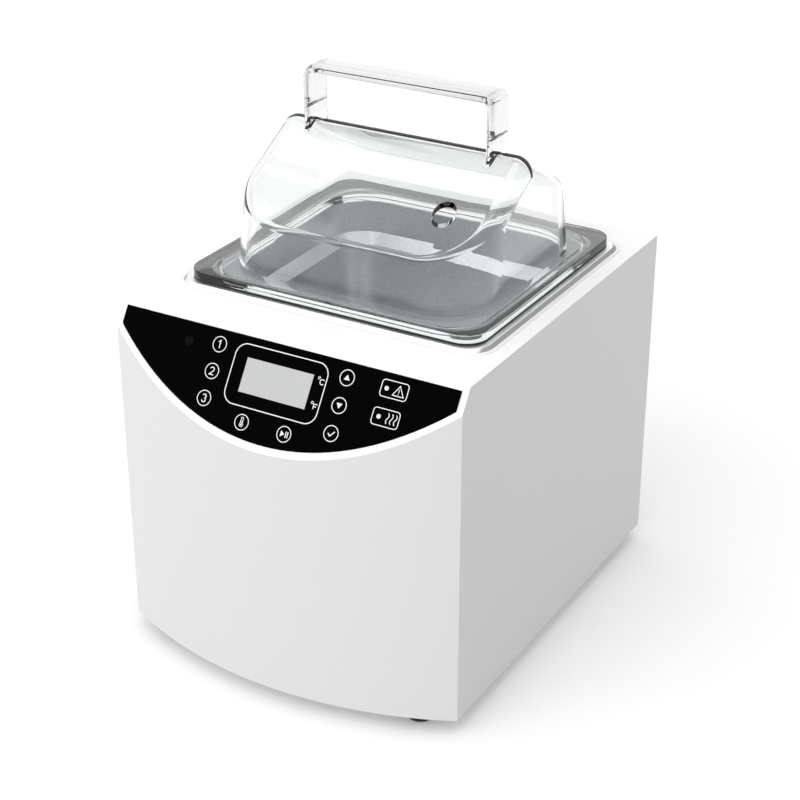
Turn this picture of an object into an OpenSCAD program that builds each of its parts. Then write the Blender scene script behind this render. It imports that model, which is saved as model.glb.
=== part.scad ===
// Bench-top thermostatic water bath with a drawn steel pan, a clear domed lid
// and a crescent control panel on a sloped, bowed front.
// Origin: centre of the footprint at bench level. +Y points to the rear, +Z up.

/* [Housing] */
// Width of the housing across its side walls
body_w = 195; // [190:1:230]
// Depth of the flat side walls
body_d = 218; // [212:1:260]
// Height of the housing above the feet
body_h = 180; // [170:1:220]
// How far the bowed front stands ahead of the side walls
bulge = 23; // [15:1:32]
// Thickness of the painted sheet
wall = 1.5; // [1:0.1:2]
// Slope of the control panel from horizontal, in degrees
panel_angle = 56.5; // [50:0.5:60]
// Height of the slanted corner at each side wall
panel_drop = 11.2; // [9:0.2:14]

/* [Feet] */
// Height of each rubber foot
foot_h = 8; // [6:0.5:14]
// Radius of each rubber foot
foot_r = 7.7; // [6:0.1:10]
// Inset of the foot centres from the side walls
foot_side_in = 23.5; // [20:0.5:30]
// Inset of the front foot centres behind the side walls' front edges
foot_front_in = 5; // [3:0.5:20]
// Inset of the rear foot centres from the rear wall
foot_rear_in = 18; // [14:0.5:30]

/* [Pan] */
// Border of the housing's top beside the pan flange
flange_side_in = 9.5; // [8:0.5:20]
// Border of the housing's top in front of the pan flange, from the side walls' front edges
flange_front_in = 34.5; // [30:0.5:50]
// Border of the housing's top behind the pan flange
flange_rear_in = 21.5; // [12:0.5:40]
// Corner radius of the pan flange
flange_r = 14; // [12:0.5:18]
// Width of the flange at each side of the pan's mouth
rim_x = 10; // [9.5:0.5:14]
// Width of the flange in front of and behind the pan's mouth
rim_y = 8.5; // [8:0.5:14]
// Corner radius of the pan's mouth
mouth_r = 22; // [20:0.5:28]
// Depth of the pan from its flange to its floor
pan_depth = 100; // [65:1:110]
// Thickness of the pan's steel
pan_t = 0.8; // [0.6:0.1:1]
// Depth below the flange at which the stacking shoulder starts
shoulder_z = 22; // [18:0.5:28]
// Height of the stacking shoulder
shoulder_h = 7; // [4:0.5:9]
// Inward step of the stacking shoulder
shoulder_in = 4; // [2:0.5:5]
// Draft of the pan's walls, in degrees
draft = 3; // [1:0.5:4]
// Radius between the pan's wall and floor
floor_r = 13; // [8:0.5:13]
// Thickness of the gasket between flange and housing
gasket_t = 0.7; // [0.5:0.1:1.5]
// Height of the flange's turned edge above the gasket
flange_rise = 1.7; // [1.4:0.1:2.5]

/* [Lid] */
// Inset of the clear lid plate from the flange's sides
lid_in_x = 4.5; // [4:0.5:5]
// Inset of the clear lid plate from the flange's front and rear
lid_in_y = 4; // [3.5:0.5:4.5]
// Corner radius of the lid plate
lid_r = 12; // [10:0.5:16]
// Thickness of the lid plate
lid_t = 4; // [3:0.5:6]
// Thickness of the dark seal under the lid plate
seal_t = 1; // [0.8:0.1:2]
// Width of the dark seal
seal_w = 4.5; // [3:0.5:5]
// Depth of the locating lip below the lid plate
lip_h = 4; // [3:0.5:8]
// Wall of the dome
dome_t = 2.5; // [2:0.1:3.5]
// Inset of the dome's foot from the plate's sides
dome_in_x = 10.25; // [9.5:0.25:16]
// Inset of the dome's foot from the plate's front and rear
dome_in_y = 12.5; // [11.5:0.5:18]
// Corner radius at the dome's foot
dome_r = 31; // [20:0.5:34]
// Height of the ridge above the lid plate
dome_h = 63; // [55:0.5:80]
// Slope of the dome's roof, as its rise over its run
roof_slope = 0.6; // [0.5:0.02:0.7]
// Radius between the roof and the dome's front and rear walls
eave_r = 5; // [4:0.5:8]
// Radius between the roof and the dome's end walls
verge_r = 11; // [8:0.5:14]
// Corner radius of the roof's edge in plan
eave_corner_r = 35.5; // [31:0.5:40]
// Draft of the dome's front and rear walls, as an inset of the roof's edge
eave_in = 2.2; // [1:0.2:5]
// Draft of the dome's end walls, as an inset of the roof's edge
dome_end_in = 0.8; // [0.5:0.1:3]
// Half the thickness of the rounded ridge
ridge_r = 6.5; // [5:0.5:9]
// Length of the rounding at each end of the ridge
ridge_end = 10; // [8:0.1:16]
// Height of the rounding along the ridge
ridge_drop = 11; // [8:0.2:15]
// Radius of the steam vent
vent_r = 5.9; // [4:0.1:8]
// Inset of the steam vent's centre from the dome's right foot
vent_in_x = 29.75; // [26:0.25:44]
// Inset of the steam vent's centre from the dome's front foot
vent_in_y = 28; // [24.5:0.5:34]

/* [Handle] */
// Inset of each strap's middle from the dome's foot
strap_in = 20.75; // [19:0.25:34]
// Width of a strap
strap_w = 19; // [12:0.5:24]
// Thickness of a strap
strap_t = 3; // [2.5:0.1:5]
// Height of the grip's top above the ridge
grip_h = 30.5; // [26:0.5:40]
// Thickness of the grip
grip_t = 4; // [3:0.5:8]
// Height of the grip's crown across its width
grip_crown = 2; // [1:0.5:3]
// Outer radius of the bend between strap and grip
grip_r = 6; // [5:0.5:10]

/* [Control panel] */
// Thickness of the black overlay
overlay_t = 0.8; // [0.6:0.1:1.5]
// White border above the overlay, along the slope
overlay_top_in = 2.5; // [1.5:0.1:4]
// White border at the overlay's ends
overlay_side_in = 3.4; // [2:0.1:6]
// White border in front of the overlay, measured level
overlay_front_in = 2; // [1:0.1:3]
// Radius of a key
key_r = 4.1; // [3:0.1:4.5]
// Travel of a key
key_travel = 0.5; // [0.3:0.1:0.8]
// Distance of the outer key columns from the middle
key_outer_x = 36; // [34:0.5:38]
// Distance of the inner key columns from the middle
key_inner_x = 12; // [9:0.5:14]
// Distance of the first row of keys below the panel's top edge
row_1 = 10; // [9:0.5:11]
// Distance of the second row of keys below the panel's top edge
row_2 = 23.4; // [21:0.2:24]
// Distance of the third row of keys below the panel's top edge
row_3 = 36.9; // [35:0.2:38]
// Distance of the lowest keys below the panel's top edge
row_4 = 43.2; // [42:0.2:44]
// Width of the display window
display_w = 37.6; // [30:0.2:44]
// Height of the display window along the slope
display_h = 17; // [12:0.5:20]
// Distance of the display's middle below the panel's top edge
display_v = 21; // [19:0.5:23]
// Radius of an indicator lamp
lamp_r = 1.1; // [0.8:0.1:1.5]
// Distance of the indicator lamps from the middle
lamp_x = 57.3; // [56:0.1:60]
// Radius of the round status lens
lens_r = 2.4; // [1.5:0.1:3]
// Distance of the status lens to the left of the middle
lens_x = 53.5; // [50:0.5:56]
// Distance of the status lens below the panel's top edge
lens_v = 12; // [10:0.5:16]

/* [Inside] */
// Thickness of the base plate
base_t = 2; // [1.5:0.1:3]
// Thickness of a circuit board
board_t = 1.6; // [1:0.1:2]
// Depth of the control board's face behind the panel's face
board_depth = 8; // [7:0.5:10]
// Thickness of the heater mat
heater_t = 2; // [1.5:0.1:4]
// Thickness of the insulation under the heater mat
under_foam_t = 8; // [5:0.5:15]
// Thickness of the insulation round the pan
side_foam_t = 7; // [4:0.5:8]
// Height of the power board's standoffs
post_h = 8; // [6:0.5:12]
// Width of the power board
power_w = 110; // [100:1:130]
// Depth of the power board
power_d = 84; // [80:1:110]

/* [Rear] */
// Inset of the mains inlet's middle from the right side wall, seen from the front
inlet_in = 52.5; // [35:0.5:62]
// Inset of the power switch's middle from the left side wall, seen from the front
switch_in = 52.5; // [35:0.5:62]
// Height of the mains inlet and the power switch above the housing's lower edge
rear_z = 34; // [28:1:44]
// Tilt of the power rocker from its middle position, in degrees
rocker_tilt = 10; // [6:1:12]
// Number of cooling slots in the rear wall
rear_slots = 9; // [5:1:13]

/* [Hidden] */

$fn = 64;
// Overlap that lets a cut pass right through a wall
eps = 0.1;
// A length longer than anything in the model
far = 600;

// Clearances
running = 0.05;
key_gap = 0.1;
fit_gap = 0.3;
lip_gap = 1;
aperture_gap = 2;

// Housing
body_hw = body_w / 2;
front_r = (body_hw * body_hw + bulge * bulge) / (2 * bulge);
inlet_flange_t = 2;
bezel_t = 2;
rocker_half = 8;
rocker_pivot_in = 3;
rocker_face = 4.4;
rear_proud = rocker_face * cos(rocker_tilt) + rocker_half * sin(rocker_tilt) - rocker_pivot_in + bezel_t;
side_y = bulge - (body_d + bulge + rear_proud) / 2;
rear_y = side_y + body_d;
bottom_z = foot_h;
top_z = bottom_z + body_h;
base_top = bottom_z + base_t;
panel_run = panel_drop / tan(panel_angle);
arc_facets = 240;

// Feet
foot_x = body_hw - foot_side_in;
foot_front_y = side_y + foot_front_in;
foot_rear_y = rear_y - foot_rear_in;
foot_spots = [[-foot_x, foot_front_y], [foot_x, foot_front_y],
              [-foot_x, foot_rear_y], [foot_x, foot_rear_y]];
screw_r = 1.5;
screw_head_r = 2.8;
screw_head_h = 1.8;
foot_recess_h = 3;
screw_over = 1;

// Pan
flange_w = body_w - 2 * flange_side_in;
flange_d = body_d - flange_front_in - flange_rear_in;
mouth_w = flange_w - 2 * rim_x;
mouth_d = flange_d - 2 * rim_y;
pan_cy = side_y + flange_front_in + flange_d / 2;
flange_top = top_z + gasket_t + flange_rise;
mouth_bend = 3;
edge_in = 2;
upper_in = (shoulder_z - mouth_bend) * tan(draft);
lower_in = (pan_depth - shoulder_z - shoulder_h - floor_r) * tan(draft);
wall_in = upper_in + shoulder_in + max(lower_in, 0);
floor_z = flange_top - pan_depth;
floor_under = floor_z - pan_t;
gasket_over = 2;
gasket_w = 4;
stud_r = 1.5;
stud_land = 1.7;
stud_x = mouth_w / 2 + pan_t + aperture_gap + stud_r + stud_land;
stud_y = 40;
stud_drop = 8;
stud_spots = [for (x = [-1, 1], y = [-1, 1]) [x * stud_x, pan_cy + y * stud_y]];
nut_flats = 5.5;
nut_h = 2.4;

// Insulation, heater and sensors
foam_top = top_z - wall - stud_drop - fit_gap;
foam_step = flange_top - shoulder_z - shoulder_h;
foam_bottom = floor_z + floor_r;
heater_in = 18;
heater_w = mouth_w - 2 * heater_in;
heater_d = mouth_d - 2 * heater_in;
heater_r = 10;
heater_z = floor_under - heater_t;
sensor_x = 28;
sensor_r = 2.5;
sensor_l = 26;
cutout_r = 8;
cutout_h = 6;
pocket_r = 12;
clip_l = 8;
clip_t = 0.8;
clip_leg = 3;
clip_w = 2 * (sensor_r + clip_t + clip_leg);
pocket_w = clip_w + 2 * fit_gap;
pocket_l = sensor_l + 4;
pocket_h = sensor_r * 2 + clip_t + fit_gap;

// Lid
lid_w = flange_w - 2 * lid_in_x;
lid_d = flange_d - 2 * lid_in_y;
dome_w = lid_w - 2 * dome_in_x;
dome_d = lid_d - 2 * dome_in_y;
vent_x = dome_w / 2 - vent_in_x;
vent_y = dome_d / 2 - vent_in_y;
seal_z = flange_top;
seal_corner = 20;
lid_z = seal_z + seal_t;
lid_top = lid_z + lid_t;
lip_t = 2;
lip_w = mouth_w - 2 * lip_gap;
lip_d = mouth_d - 2 * lip_gap;
lip_r = mouth_r - lip_gap;
dome_foot = 0.5;
roof_x = dome_w / 2 - dome_end_in;
roof_y = dome_d / 2 - eave_in;
ridge_x = roof_x - ridge_end;
ridge_z = lid_top + dome_h;
roof_peak = ridge_z - ridge_drop + sqrt(pow(ridge_r * roof_slope, 2) + pow(ridge_drop, 2));
corner_steps = 4;
hull_facets = 32;

// Handle
grip_z = ridge_z + grip_h;
strap_x = dome_w / 2 - strap_in;

// Panel, keys and control board. Each key: name, distance right, distance down the slope
key_spots = [[-key_outer_x, row_1], [-key_outer_x, row_2], [-key_outer_x, row_3],
             [-key_inner_x, row_4], [key_inner_x, row_4], [key_outer_x, row_3],
             [key_outer_x, row_1], [key_outer_x, row_2]];
lamp_spots = [[lamp_x, row_1], [lamp_x, row_2]];
key_collar_r = key_r + 1;
key_collar_h = 0.55;
key_hole_r = key_collar_r + 0.5;
plunger_top = 3.7;
stem_r = 2;
stem_end = plunger_top - key_travel - key_gap;
plunger_r = 1.6;
switch_side = 6;
switch_h = 3.5;
lamp_collar_r = lamp_r + 0.6;
board_side_in = 30;
board_front_in = 10;
board_top_in = 4;
post_r = 2.5;
post_floor = 1;
post_screw_in = 4;
panel_post_x = 46;
panel_post_v = row_1 - 4;
panel_posts = [[-panel_post_x, row_2], [panel_post_x, row_2],
               [-panel_post_x, panel_post_v], [panel_post_x, panel_post_v]];
module_rim = 3;
module_back = board_depth - running;

// Power board
power_y = pan_cy;
power_z = base_top + post_h;
power_top = power_z + board_t;
power_post_in = 6;
power_spots = [for (x = [-1, 1], y = [-1, 1])
               [x * (power_w / 2 - power_post_in), power_y + y * (power_d / 2 - power_post_in)]];

// Side rails and their screws
rail_leg = 12;
rail_t = 1.5;
rail_l = 150;
rail_y = side_y + body_d / 2;
rail_x = body_hw - wall;
rail_screw_y = 60;
rail_spots = [for (x = [-1, 1], y = [-1, 1])
              [x * (rail_x - rail_leg / 2), rail_y + y * rail_screw_y]];

// Rear inlet and switch
rear_mid_z = bottom_z + rear_z;
inlet_x = body_hw - inlet_in;
switch_x = body_hw - switch_in;
inlet_w = 27.4;
inlet_h = 20;
inlet_corner = 5;
inlet_deep = 20;
inlet_ear_gap = 40;
inlet_ear_w = 50;
inlet_ear_h = 22.4;
inlet_cavity_w = 24;
inlet_cavity_h = 16.4;
inlet_cavity_deep = 16;
inlet_pin_w = 2;
inlet_pin_h = 4;
inlet_pin_l = 13;
inlet_pin_gap = 7;
inlet_pin_tail = 8;
inlet_pin_rise = 0.5;
earth_pin_rise = 4.5;
earth_pin_drop = 1;
inlet_cavity_r = 3;
inlet_screw_over = 3;
switch_bezel_w = 15;
switch_bezel_h = 21;
switch_body_w = 12.8;
switch_body_h = 19;
switch_deep = 14;
switch_cavity_w = 10.8;
switch_cavity_h = 17.6;
switch_cavity_deep = 7;
rocker_w = 10.4;
rocker_pin_r = 1.2;
rocker_pin_l = 0.9;
tab_w = 4.8;
tab_t = 0.8;
tab_l = 7;
tab_gap = 10;
switch_bezel_r = 1.5;
slot_w = 2.4;
slot_h = 26;
slot_end = slot_w / 2 - 0.01;
slot_pitch = 7;
slot_up = 92;
slot_z = bottom_z + slot_up;

white = [0.95, 0.95, 0.95];
steel = [0.56, 0.58, 0.60];
black = [0.02, 0.02, 0.02];
clear = [0.85, 0.9, 0.92, 0.35];
board_green = [0.05, 0.3, 0.15];

// A rectangle with true round corners, centred
module rounded_rect(w, d, r) {
    square([w - 2 * r, d], center = true);
    square([w, d - 2 * r], center = true);
    for (x = [-1, 1], y = [-1, 1])
        translate([x * (w / 2 - r), y * (d / 2 - r)]) circle(r = r);
}

module rounded_plate(w, d, r, h) {
    linear_extrude(height = h) rounded_rect(w, d, r);
}

// A rectangular ring with round corners, of width t
module rounded_ring(w, d, r, t, h) {
    difference() {
        rounded_plate(w, d, r, h);
        translate([0, 0, -eps]) rounded_plate(w - 2 * t, d - 2 * t, r - t, h + 2 * eps);
    }
}

// Sweeps a profile round a rounded rectangle; x = 0 is the corner's centre
module rim_sweep(w, d, r) {
    run_x = w / 2 - r;
    run_y = d / 2 - r;
    for (q = [0 : 3])
        translate([(q == 0 || q == 3 ? 1 : -1) * run_x, (q < 2 ? 1 : -1) * run_y, 0])
            rotate([0, 0, 90 * q]) rotate_extrude(angle = 90) children();
    for (s = [0, 1]) {
        mirror([s, 0, 0]) translate([run_x, 0, 0]) rotate([90, 0, 0])
            linear_extrude(height = 2 * run_y, center = true) children();
        mirror([0, s, 0]) translate([0, run_y, 0]) rotate([90, 0, 90])
            linear_extrude(height = 2 * run_x, center = true) children();
    }
}

function arc(cx, cy, r, from, to, n = 6) =
    [for (i = [0 : n]) [cx + r * cos(from + (to - from) * i / n), cy + r * sin(from + (to - from) * i / n)]];

// Plan of the housing: straight sides and rear, bowed front
module body_plan(side_in, front_in) {
    intersection() {
        translate([0, side_y - bulge + front_r])
            circle(r = front_r - front_in, $fn = arc_facets);
        translate([side_in - body_hw, side_y - bulge - eps])
            square([body_w - 2 * side_in, body_d + bulge + eps - side_in]);
    }
}

// Puts children on the sloped panel: x to the right, y up the slope, z outwards
module on_panel(x = 0, v = 0) {
    translate([0, side_y + panel_run, top_z]) rotate([panel_angle, 0, 0])
        translate([x, -v, 0]) children();
}

// The housing's envelope, moved in by an inset on every face
module body_block(inset) {
    difference() {
        translate([0, 0, bottom_z]) linear_extrude(height = body_h - inset) body_plan(inset, inset);
        on_panel() translate([-far / 2, -far / 2, -inset]) cube(far);
    }
}

// A slab parallel to the panel, between two depths behind its face
module panel_slab(near, deep, v_top) {
    on_panel() translate([-far / 2, -far / 2 - v_top, -deep])
        cube([far, far / 2, deep - near]);
}

module body_shell() {
    color(white) difference() {
        body_block(0);
        translate([0, 0, -wall]) body_block_inside();
        translate([0, pan_cy, top_z - wall - eps])
            rounded_plate(mouth_w + 2 * (pan_t + aperture_gap), mouth_d + 2 * (pan_t + aperture_gap),
                          mouth_r + pan_t + aperture_gap, wall + 2 * eps);
        for (p = stud_spots)
            translate([p[0], p[1], top_z - wall - eps]) cylinder(r = stud_r + 0.2, h = wall + 2 * eps);
        for (k = key_spots)
            on_panel(k[0], k[1]) translate([0, 0, -wall - eps]) cylinder(r = key_hole_r, h = wall + 2 * eps);
        for (k = lamp_spots)
            on_panel(k[0], k[1]) translate([0, 0, -wall - eps])
                cylinder(r = lamp_collar_r + running, h = wall + 2 * eps);
        on_panel(-lens_x, lens_v) translate([0, 0, -wall - eps])
            cylinder(r = lens_r + key_gap, h = wall + 2 * eps);
        on_panel(0, display_v) translate([0, 0, -wall / 2])
            cube([display_w + 2 * fit_gap, display_h + 2 * fit_gap, wall + 2 * eps], center = true);
        rear_cutouts();
    }
}

// The hollow of the housing, open at the bottom
module body_block_inside() {
    difference() {
        translate([0, 0, bottom_z - eps]) linear_extrude(height = body_h + eps) body_plan(wall, wall);
        translate([0, 0, wall]) on_panel()
            translate([-far / 2, -far / 2, -wall]) cube(far);
    }
}

module rear_cutouts() {
    translate([inlet_x, rear_y + eps, rear_mid_z]) rotate([90, 0, 0])
        rounded_plate(inlet_w + 2 * fit_gap, inlet_h + 2 * fit_gap, inlet_corner, wall + 2 * eps);
    for (s = [-1, 1])
        translate([inlet_x + s * inlet_ear_gap / 2, rear_y + eps, rear_mid_z]) rotate([90, 0, 0])
            cylinder(r = screw_r + running, h = wall + 2 * eps);
    translate([-switch_x, rear_y - wall / 2, rear_mid_z])
        cube([switch_body_w + 2 * fit_gap, wall + 2 * eps, switch_body_h + 2 * fit_gap], center = true);
    for (i = [0 : rear_slots - 1])
        translate([(i - (rear_slots - 1) / 2) * slot_pitch, rear_y + eps, slot_z]) rotate([90, 0, 0])
            rounded_plate(slot_w, slot_h, slot_end, wall + 2 * eps);
}

module base_plate() {
    vent_l = 60;
    vent_rows = 7;
    color([0.75, 0.75, 0.76]) difference() {
        translate([0, 0, bottom_z]) linear_extrude(height = base_t) body_plan(wall + fit_gap, wall + fit_gap);
        for (p = concat(foot_spots, rail_spots))
            translate([p[0], p[1], bottom_z - eps]) cylinder(r = screw_r + running, h = base_t + 2 * eps);
        for (p = power_spots)
            translate([p[0], p[1], bottom_z - eps]) cylinder(r = screw_r + running, h = base_t + 2 * eps);
        for (i = [0 : vent_rows - 1])
            translate([0, power_y + (i - (vent_rows - 1) / 2) * slot_pitch, bottom_z - eps])
                rounded_plate(vent_l, slot_w, slot_end, base_t + 2 * eps);
    }
}

module side_rails() {
    color([0.7, 0.7, 0.72]) for (s = [0, 1]) mirror([s, 0, 0]) difference() {
        translate([rail_x, rail_y + rail_l / 2, base_top]) rotate([90, 0, 0])
            linear_extrude(height = rail_l)
                polygon([[0, 0], [0, rail_leg], [-rail_t, rail_leg], [-rail_t, rail_t], [-rail_leg, rail_t], [-rail_leg, 0]]);
        for (y = [-1, 1])
            translate([rail_x - rail_leg / 2, rail_y + y * rail_screw_y, base_top - eps])
                cylinder(r = screw_r, h = rail_t + 2 * eps);
    }
}

module foot(spot) {
    taper = 1;
    bottom_edge = 1;
    bottom_rise = 0.6;
    top_edge = 0.3;
    top_rise = 1;
    color(black) translate([spot[0], spot[1], 0]) difference() {
        rotate_extrude() polygon([[0, 0], [foot_r - taper - bottom_edge, 0], [foot_r - taper, bottom_rise],
                                  [foot_r, foot_h - top_rise], [foot_r - top_edge, foot_h], [0, foot_h]]);
        translate([0, 0, -eps]) cylinder(r = screw_head_r + fit_gap, h = foot_recess_h + eps);
        cylinder(r = screw_r + running, h = foot_h + eps);
    }
}

// A pan-head screw with its head's underside at z = 0, pointing up
module screw(shank) {
    head_taper = 0.5;
    cross_l = 3.2;
    cross_w = 0.7;
    cross_deep = 0.9;
    translate([0, 0, -screw_head_h]) difference() {
        cylinder(r1 = screw_head_r - head_taper, r2 = screw_head_r, h = screw_head_h);
        for (a = [0, 90])
            rotate([0, 0, a]) translate([-cross_l / 2, -cross_w / 2, -eps]) cube([cross_l, cross_w, cross_deep + eps]);
    }
    cylinder(r = screw_r, h = shank);
}

module foot_screws() {
    nut_top = base_top + nut_h;
    color(steel) for (p = foot_spots) translate([p[0], p[1], 0]) {
        translate([0, 0, foot_recess_h]) screw(nut_top - foot_recess_h + screw_over);
        translate([0, 0, base_top]) difference() {
            cylinder(d = nut_flats / cos(30), h = nut_h, $fn = 6);
            cylinder(r = screw_r - eps, h = nut_h + eps);
        }
    }
}

module base_screws() {
    color(steel) for (p = rail_spots)
        translate([p[0], p[1], bottom_z]) screw(base_t + rail_t + screw_over);
}

// Section of the drawn pan from the flange's flat to the middle of the floor
module pan_section() {
    x1 = mouth_r - upper_in;
    x2 = x1 - shoulder_in;
    x3 = mouth_r - wall_in;
    polygon(concat(
        arc(mouth_r + mouth_bend, -mouth_bend, mouth_bend, 90, 180),
        [[x1, -shoulder_z], [x2, -shoulder_z - shoulder_h]],
        arc(x3 - floor_r, floor_r - pan_depth, floor_r, 0, -90),
        [[0, -pan_depth], [0, -pan_depth - pan_t]],
        arc(x3 - floor_r, floor_r - pan_depth, floor_r + pan_t, -90, 0),
        [[x2 + pan_t, -shoulder_z - shoulder_h - pan_t / 3], [x1 + pan_t, -shoulder_z - pan_t / 3]],
        arc(mouth_r + mouth_bend, -mouth_bend, mouth_bend - pan_t, 180, 90)));
}

// Section of the flange's turned edge
module edge_section() {
    polygon([[flange_r - edge_in, 0], [flange_r, -flange_rise], [flange_r - pan_t, -flange_rise],
             [flange_r - edge_in, -pan_t]]);
}

module bath_pan() {
    flat_w = mouth_w + 2 * mouth_bend;
    flat_d = mouth_d + 2 * mouth_bend;
    floor_w = mouth_w - 2 * mouth_r;
    floor_d = mouth_d - 2 * mouth_r;
    color(steel) translate([0, pan_cy, flange_top]) union() {
        translate([0, 0, -pan_t]) difference() {
            rounded_plate(flange_w - 2 * edge_in + eps, flange_d - 2 * edge_in + eps, flange_r - edge_in, pan_t);
            translate([0, 0, -eps]) rounded_plate(flat_w - eps, flat_d - eps, mouth_r + mouth_bend, pan_t + 2 * eps);
        }
        rim_sweep(flange_w, flange_d, flange_r) edge_section();
        rim_sweep(mouth_w, mouth_d, mouth_r) pan_section();
        translate([0, 0, -pan_depth - pan_t / 2]) cube([floor_w + eps, floor_d + eps, pan_t], center = true);
        for (p = stud_spots)
            translate([p[0], p[1] - pan_cy, top_z - wall - stud_drop - flange_top])
                cylinder(r = stud_r, h = flange_top - top_z + wall + stud_drop - pan_t / 2);
    }
}

module pan_gasket() {
    color([0.9, 0.9, 0.9]) translate([0, pan_cy, top_z])
        rounded_ring(flange_w + 2 * gasket_over, flange_d + 2 * gasket_over, flange_r + gasket_over, gasket_w, gasket_t);
}

module pan_nuts() {
    color(steel) for (p = stud_spots)
        translate([p[0], p[1], top_z - wall - nut_h]) difference() {
            cylinder(d = nut_flats / cos(30), h = nut_h, $fn = 6);
            translate([0, 0, -eps]) cylinder(r = stud_r + running, h = nut_h + 2 * eps);
        }
}

// Places children under the pan's floor at the sensor or at the cut-out
module under_floor(x) {
    translate([x, pan_cy, floor_under]) children();
}

// Room for the sensor and its clip under the pan's floor
module sensor_pocket() {
    translate([-pocket_l / 2, -pocket_w / 2, -pocket_h]) cube([pocket_l, pocket_w, pocket_h + eps]);
}

module heater_mat() {
    color([0.75, 0.3, 0.15]) difference() {
        translate([0, pan_cy, heater_z]) rounded_plate(heater_w, heater_d, heater_r, heater_t);
        under_floor(-sensor_x) translate([0, 0, -heater_t - eps]) cylinder(r = pocket_r, h = heater_t + 2 * eps);
        under_floor(sensor_x) sensor_pocket();
    }
}

module under_insulation() {
    pad_z = heater_z - under_foam_t;
    color([0.6, 0.6, 0.55]) difference() {
        translate([0, pan_cy, pad_z]) rounded_plate(heater_w, heater_d, heater_r, under_foam_t);
        under_floor(-sensor_x) translate([0, 0, -far]) cylinder(r = pocket_r, h = far);
        under_floor(sensor_x) sensor_pocket();
    }
}

module pan_insulation() {
    top_in_w = mouth_w + 2 * pan_t + fit_gap;
    top_in_d = mouth_d + 2 * pan_t + fit_gap;
    low_in = 2 * (upper_in + shoulder_in);
    out_w = mouth_w + 2 * side_foam_t;
    out_d = mouth_d + 2 * side_foam_t;
    out_r = mouth_r + side_foam_t;
    color([0.6, 0.6, 0.55]) translate([0, pan_cy, foam_bottom]) difference() {
        rounded_plate(out_w, out_d, out_r, foam_top - foam_bottom);
        translate([0, 0, foam_step - foam_bottom])
            rounded_plate(top_in_w, top_in_d, mouth_r + pan_t, foam_top - foam_step + eps);
        translate([0, 0, -eps])
            rounded_plate(top_in_w - low_in, top_in_d - low_in, mouth_r + pan_t - low_in / 2, foam_top - foam_bottom);
    }
}

module temperature_sensor() {
    color(steel) under_floor(sensor_x) translate([-sensor_l / 2, 0, -sensor_r]) rotate([0, 90, 0])
        cylinder(r = sensor_r, h = sensor_l);
}

// A saddle strap seen along the sensor, with a flange at each side against the pan's floor
module clip_section() {
    outer_r = sensor_r + clip_t;
    difference() {
        union() {
            translate([0, -sensor_r]) circle(r = outer_r);
            translate([-outer_r, -sensor_r]) square([2 * outer_r, sensor_r]);
            translate([-clip_w / 2, -clip_t]) square([clip_w, clip_t]);
        }
        translate([0, -sensor_r]) circle(r = sensor_r);
        translate([-sensor_r, -sensor_r]) square([2 * sensor_r, sensor_r + eps]);
        translate([-clip_w, 0]) square([2 * clip_w, clip_w]);
    }
}

module sensor_clip() {
    color([0.7, 0.7, 0.72]) under_floor(sensor_x)
        rotate([90, 0, 90]) linear_extrude(height = clip_l, center = true) clip_section();
}

module thermal_cutout() {
    ear_l = 18;
    ear_w = 6;
    ear_t = 1;
    tab_in = 3;
    color([0.12, 0.12, 0.13]) under_floor(-sensor_x) {
        translate([0, 0, -cutout_h]) cylinder(r = cutout_r, h = cutout_h);
        for (s = [-1, 1]) translate([s * (cutout_r - tab_in), 0, -cutout_h - tab_l / 2])
            cube([tab_t, tab_w, tab_l + eps], center = true);
        translate([0, 0, -ear_t / 2]) cube([ear_l, ear_w, ear_t], center = true);
    }
}

module panel_overlay() {
    color(black) difference() {
        intersection() {
            panel_slab(-overlay_t, 0, overlay_top_in);
            translate([0, 0, bottom_z]) linear_extrude(height = 2 * body_h) body_plan(overlay_side_in, overlay_front_in);
        }
        for (k = key_spots)
            on_panel(k[0], k[1]) translate([0, 0, -eps]) cylinder(r = key_r + key_gap, h = overlay_t + 2 * eps);
        for (k = lamp_spots)
            on_panel(k[0], k[1]) translate([0, 0, -eps]) cylinder(r = lamp_r + running, h = overlay_t + 2 * eps);
        on_panel(-lens_x, lens_v) translate([0, 0, -eps]) cylinder(r = lens_r + running, h = overlay_t + 2 * eps);
        on_panel(0, display_v) translate([0, 0, overlay_t / 2])
            cube([display_w, display_h, overlay_t + 2 * eps], center = true);
    }
}

module display_window() {
    color([0.83, 0.83, 0.83]) on_panel(0, display_v) translate([0, 0, overlay_t / 2])
        cube([display_w - 2 * running, display_h - 2 * running, overlay_t], center = true);
}

module display_module() {
    rim_w = display_w + 2 * module_rim;
    rim_h = display_h + 2 * module_rim;
    glass_near = fit_gap;
    color([0.2, 0.2, 0.22]) on_panel(0, display_v) union() {
        translate([0, 0, -(glass_near + wall + fit_gap) / 2])
            cube([display_w - 2 * running, display_h - 2 * running, wall + fit_gap - glass_near + eps], center = true);
        translate([0, 0, -(wall + fit_gap + module_back) / 2])
            cube([rim_w, rim_h, module_back - wall - fit_gap], center = true);
    }
}

// Outline of the control board, cut back from the housing's walls
module board_block(near, deep) {
    intersection() {
        panel_slab(near, deep, board_top_in);
        translate([0, 0, bottom_z]) linear_extrude(height = 2 * body_h) body_plan(board_side_in, board_front_in);
    }
}

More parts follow.
